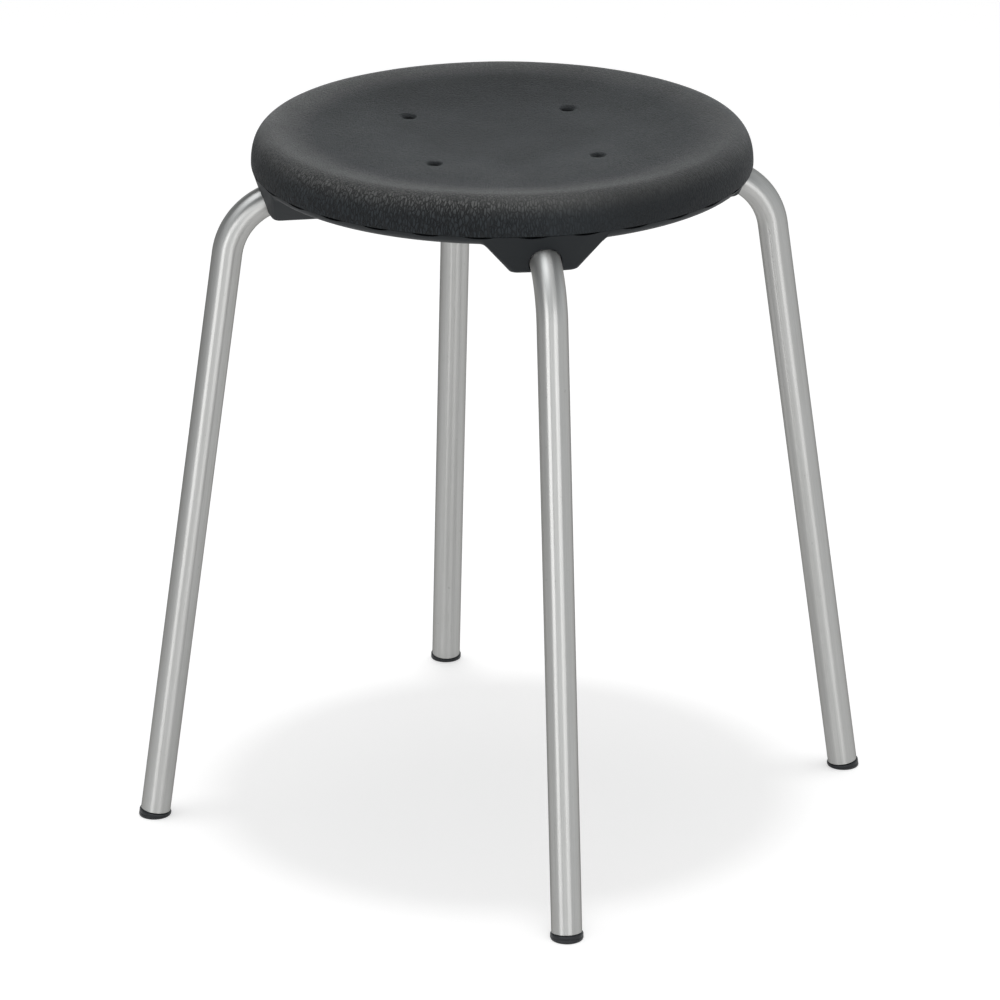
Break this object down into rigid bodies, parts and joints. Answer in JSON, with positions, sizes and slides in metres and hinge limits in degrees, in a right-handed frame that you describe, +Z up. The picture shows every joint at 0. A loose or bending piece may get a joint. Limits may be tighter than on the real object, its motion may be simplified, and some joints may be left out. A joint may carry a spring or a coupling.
{
  "type": "stacking stool",
  "caption": "Round stacking stool with a dished foam cushion on a moulded shell, splayed bent steel tube legs and plastic glides",
  "frame": {"origin": "On the floor, under the middle of the seat, which is the bottom centre of the bounding box", "axes": "+Z up along the stool's middle; +X to the leg named right and +Y to the leg named back, so the legs named left and front are on -X and -Y"},
  "size_m": [0.5324, 0.5324, 0.504],
  "materials": {
    "cushion": "black integral-skin foam, satin with a fine leather grain",
    "plate": "plain plywood",
    "shell": "smooth matte black moulding",
    "tube": "stainless steel, brushed along its length",
    "glide": "black plastic, satin",
    "bolt": "plain steel",
    "insert": "zinc plated steel"
  },
  "bodies": {
    "root": {"seat_cushion": "cushion", "seat_plate": "plate", "under_shell": "shell", "leg_right": "tube", "leg_back": "tube", "leg_left": "tube", "leg_front": "tube", "foot_right": "glide", "foot_back": "glide", "foot_left": "glide", "foot_front": "glide", "insert_right_inner": "insert", "insert_right_outer": "insert", "insert_back_inner": "insert", "insert_back_outer": "insert", "insert_left_inner": "insert", "insert_left_outer": "insert", "insert_front_inner": "insert", "insert_front_outer": "insert", "bolt_right_inner": "bolt", "bolt_right_outer": "bolt", "bolt_back_inner": "bolt", "bolt_back_outer": "bolt", "bolt_left_inner": "bolt", "bolt_left_outer": "bolt", "bolt_front_inner": "bolt", "bolt_front_outer": "bolt"}
  },
  "joints": []
}
